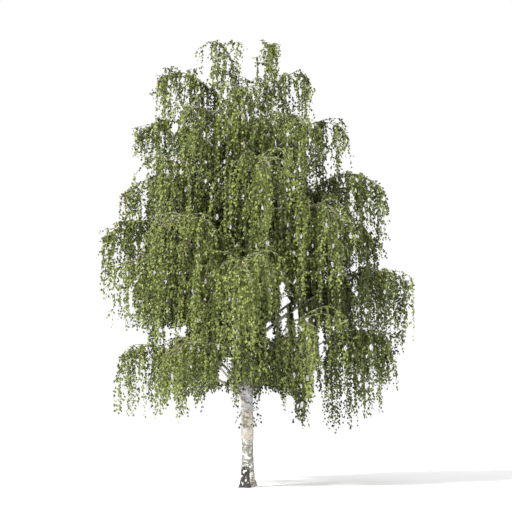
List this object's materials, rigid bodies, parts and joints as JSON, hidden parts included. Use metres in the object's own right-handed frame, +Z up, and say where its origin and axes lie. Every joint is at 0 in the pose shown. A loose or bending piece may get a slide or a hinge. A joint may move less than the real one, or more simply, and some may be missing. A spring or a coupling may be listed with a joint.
{
  "type": "weeping silver birch tree",
  "caption": "Whole weeping birch in leaf: a pale straight trunk, arching boughs in tiers and hanging foliage down to head height.",
  "frame": {"origin": "middle of the flat cut under the trunk, at ground level", "axes": "+Z up along the trunk, +X to the right and +Y away as seen in the picture"},
  "size_m": [8.7446, 8.1797, 12.0012],
  "materials": {
    "trunk_bark": "matt papery white bark, dark and fissured at the foot",
    "bough_bark": "matt grey-brown young bark",
    "foliage": "soft mid green leaves on thin hanging twigs"
  },
  "bodies": {
    "root": {"trunk": "trunk_bark", "bough_low_1": "bough_bark", "bough_low_2": "bough_bark", "bough_low_3": "bough_bark", "bough_low_4": "bough_bark", "bough_low_5": "bough_bark", "bough_low_6": "bough_bark", "bough_middle_1": "bough_bark", "bough_middle_2": "bough_bark", "bough_middle_3": "bough_bark", "bough_middle_4": "bough_bark", "bough_middle_5": "bough_bark", "bough_middle_6": "bough_bark", "bough_skirt_1": "bough_bark", "bough_skirt_2": "bough_bark", "bough_skirt_3": "bough_bark", "bough_skirt_4": "bough_bark", "bough_skirt_5": "bough_bark", "bough_skirt_6": "bough_bark", "bough_wide_1": "bough_bark", "bough_wide_2": "bough_bark", "bough_wide_3": "bough_bark", "bough_wide_4": "bough_bark", "bough_wide_5": "bough_bark", "bough_wide_6": "bough_bark", "foliage_leader_left": "foliage", "foliage_leader_right": "foliage", "foliage_low_1": "foliage", "foliage_low_2": "foliage", "foliage_low_3": "foliage", "foliage_low_4": "foliage", "foliage_low_5": "foliage", "foliage_low_6": "foliage", "foliage_middle_1": "foliage", "foliage_middle_2": "foliage", "foliage_middle_3": "foliage", "foliage_middle_4": "foliage", "foliage_middle_5": "foliage", "foliage_middle_6": "foliage", "foliage_shoulder_1": "foliage", "foliage_shoulder_2": "foliage", "foliage_shoulder_3": "foliage", "foliage_shoulder_4": "foliage", "foliage_shoulder_5": "foliage", "foliage_skirt_1": "foliage", "foliage_skirt_2": "foliage", "foliage_skirt_3": "foliage", "foliage_skirt_4": "foliage", "foliage_skirt_5": "foliage", "foliage_skirt_6": "foliage", "foliage_upper_1": "foliage", "foliage_upper_2": "foliage", "foliage_upper_3": "foliage", "foliage_upper_4": "foliage", "foliage_wide_1": "foliage", "foliage_wide_2": "foliage", "foliage_wide_3": "foliage", "foliage_wide_4": "foliage", "foliage_wide_5": "foliage", "foliage_wide_6": "foliage"}
  },
  "joints": []
}
